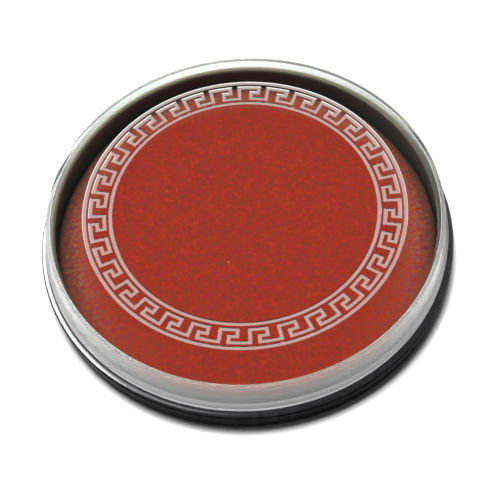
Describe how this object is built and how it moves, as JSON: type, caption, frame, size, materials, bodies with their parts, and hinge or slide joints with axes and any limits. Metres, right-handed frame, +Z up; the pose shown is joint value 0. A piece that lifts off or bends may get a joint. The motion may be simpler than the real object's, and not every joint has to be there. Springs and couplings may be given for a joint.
{
  "type": "seal paste box",
  "caption": "Flat round seal paste box: black tray with a red cloth-covered ink pad, and a clear lift-off lid with a key-pattern border.",
  "frame": {"origin": "centre of the box on the surface that it stands on", "axes": "+Z up through the middle of the lid; the box is round, so X and Y are free, and one key motif of the border starts at +X"},
  "size_m": [0.09, 0.09, 0.015],
  "materials": {
    "black_plastic": "glossy moulded",
    "adhesive": "matte",
    "board": "matte",
    "sponge": "soaked foam",
    "felt": "soaked felt",
    "red_cloth": "fine weave, damp with red paste",
    "clear_plastic": "clear with satin side wall"
  },
  "bodies": {
    "base": {"base_tray": "black_plastic", "adhesive_disc": "adhesive", "backing_board": "board", "ink_sponge": "sponge", "felt_layer": "felt", "pad_cloth": "red_cloth"},
    "lid": {"lid": "clear_plastic"}
  },
  "joints": [
    {"name": "lid_lift", "type": "slide", "parent": "base", "child": "lid", "axis": [0, 0, 1], "range_m": [0, 0.03]}
  ]
}
